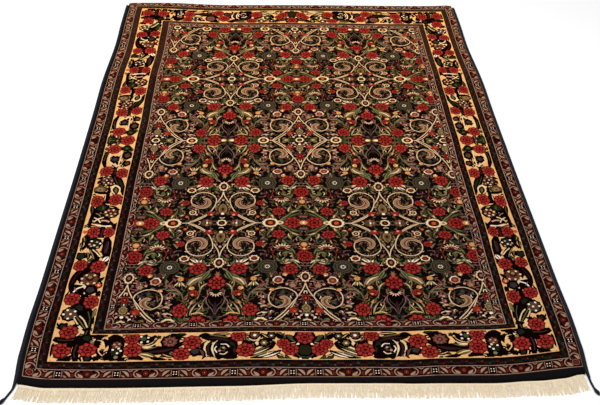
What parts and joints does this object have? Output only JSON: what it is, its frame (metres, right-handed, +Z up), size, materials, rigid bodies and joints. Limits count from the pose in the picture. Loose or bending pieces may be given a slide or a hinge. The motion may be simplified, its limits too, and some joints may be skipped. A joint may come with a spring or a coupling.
{
  "type": "persian rug",
  "caption": "Flat hand-knotted wool rug, all-over rose and scroll field, gold rose border, overcast sides with loose cord tails and a cotton fringe at one end.",
  "frame": {"origin": "middle of the rug's flat underside", "axes": "+Y along the rug to the end without a fringe, +X across it, +Z up through the pile"},
  "size_m": [1.4175, 2.171, 0.012],
  "materials": {
    "wool_pile": "matte wool pile, knotted in dark blue, madder red, gold, green and tan",
    "overcast_wool": "matte wrapped wool, blue-black",
    "cotton_warp": "matte undyed cotton, cream"
  },
  "bodies": {
    "root": {"rug": "wool_pile", "overcast_left": "overcast_wool", "overcast_right": "overcast_wool", "fringe_near": "cotton_warp"}
  },
  "joints": []
}
